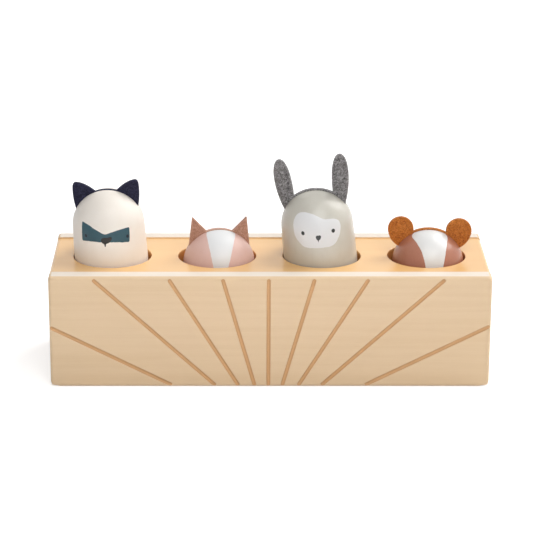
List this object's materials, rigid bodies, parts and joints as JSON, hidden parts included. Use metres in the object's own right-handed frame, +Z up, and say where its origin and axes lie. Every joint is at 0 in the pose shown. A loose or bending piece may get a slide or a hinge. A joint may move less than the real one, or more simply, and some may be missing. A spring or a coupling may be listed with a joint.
{
  "type": "pop up animal toy",
  "caption": "Wooden pop-up toy: turned animal pegs with felt ears stand in holes in a box, and see-saw rockers inside lift one as its neighbour is pressed down.",
  "frame": {"origin": "centre of the box's bottom face, on the surface it stands on", "axes": "+X along the box to the viewer's right, -Y out of the grooved front, +Z up"},
  "size_m": [0.24, 0.078, 0.122],
  "materials": {
    "pale_maple": "clear satin varnish over pale maple, fine grain along the box",
    "yellow_painted_wood": "thin honey-yellow stain under a clear satin coat",
    "plywood": "bare sanded plywood",
    "beech": "bare beech",
    "cat_paint": "cream paint, semi-gloss, with a teal-blue face mask",
    "fox_paint": "dusty pink paint, semi-gloss, with a white stripe",
    "rabbit_paint": "warm grey paint, semi-gloss, with a white face patch",
    "bear_paint": "terracotta paint, semi-gloss, with a white stripe",
    "cat_felt": "navy wool felt",
    "fox_felt": "pinkish brown wool felt",
    "rabbit_felt": "mottled grey wool felt",
    "bear_felt": "orange-brown wool felt",
    "zinc_steel": "bright zinc",
    "bright_steel": "drawn bright steel"
  },
  "bodies": {
    "housing": {"front_panel": "pale_maple", "back_panel": "pale_maple", "top_board": "yellow_painted_wood", "bottom_board": "plywood", "left_end_board": "pale_maple", "right_end_board": "pale_maple", "base_screws": "zinc_steel", "left_axle": "bright_steel", "right_axle": "bright_steel", "left_front_bearing": "beech", "left_back_bearing": "beech", "right_front_bearing": "beech", "right_back_bearing": "beech", "bearing_screws": "zinc_steel"},
    "cat": {"cat_peg": "cat_paint", "cat_felt_ears": "cat_felt", "cat_foot_plate": "plywood", "cat_foot_pin": "beech"},
    "fox": {"fox_peg": "fox_paint", "fox_felt_ears": "fox_felt", "fox_foot_plate": "plywood", "fox_foot_pin": "beech"},
    "rabbit": {"rabbit_peg": "rabbit_paint", "rabbit_felt_ears": "rabbit_felt", "rabbit_foot_plate": "plywood", "rabbit_foot_pin": "beech"},
    "bear": {"bear_peg": "bear_paint", "bear_felt_ears": "bear_felt", "bear_foot_plate": "plywood", "bear_foot_pin": "beech"},
    "rocker_left": {"left_rocker": "beech"},
    "rocker_right": {"right_rocker": "beech"}
  },
  "joints": [
    {"name": "cat_slide", "type": "slide", "parent": "housing", "child": "cat", "axis": [-0.0593, 0, 0.9982], "range_m": [-0.0221, 0]},
    {"name": "fox_slide", "type": "slide", "parent": "housing", "child": "fox", "axis": [0.0105, 0, 0.9999], "range_m": [0, 0.023]},
    {"name": "left_rocker_pivot", "type": "hinge", "parent": "housing", "child": "rocker_left", "pos_m": [-0.058, 0, 0.02246], "axis": [0, 1, 0], "range_deg": [-43.07, 0]},
    {"name": "rabbit_slide", "type": "slide", "parent": "housing", "child": "rabbit", "axis": [-0.1045, 0, 0.9945], "range_m": [-0.0217, 0]},
    {"name": "bear_slide", "type": "slide", "parent": "housing", "child": "bear", "axis": [0.0349, 0, 0.9994], "range_m": [0, 0.023]},
    {"name": "right_rocker_pivot", "type": "hinge", "parent": "housing", "child": "rocker_right", "pos_m": [0.058, 0, 0.02246], "axis": [0, 1, 0], "range_deg": [-44.09, 0]}
  ],
  "couplings": [
    {"joint": "fox_slide", "follows": "cat_slide", "ratio": -1.0407},
    {"joint": "left_rocker_pivot", "follows": "cat_slide", "rad_per_m": 34.01},
    {"joint": "bear_slide", "follows": "rabbit_slide", "ratio": -1.0599},
    {"joint": "right_rocker_pivot", "follows": "rabbit_slide", "rad_per_m": 35.457}
  ]
}
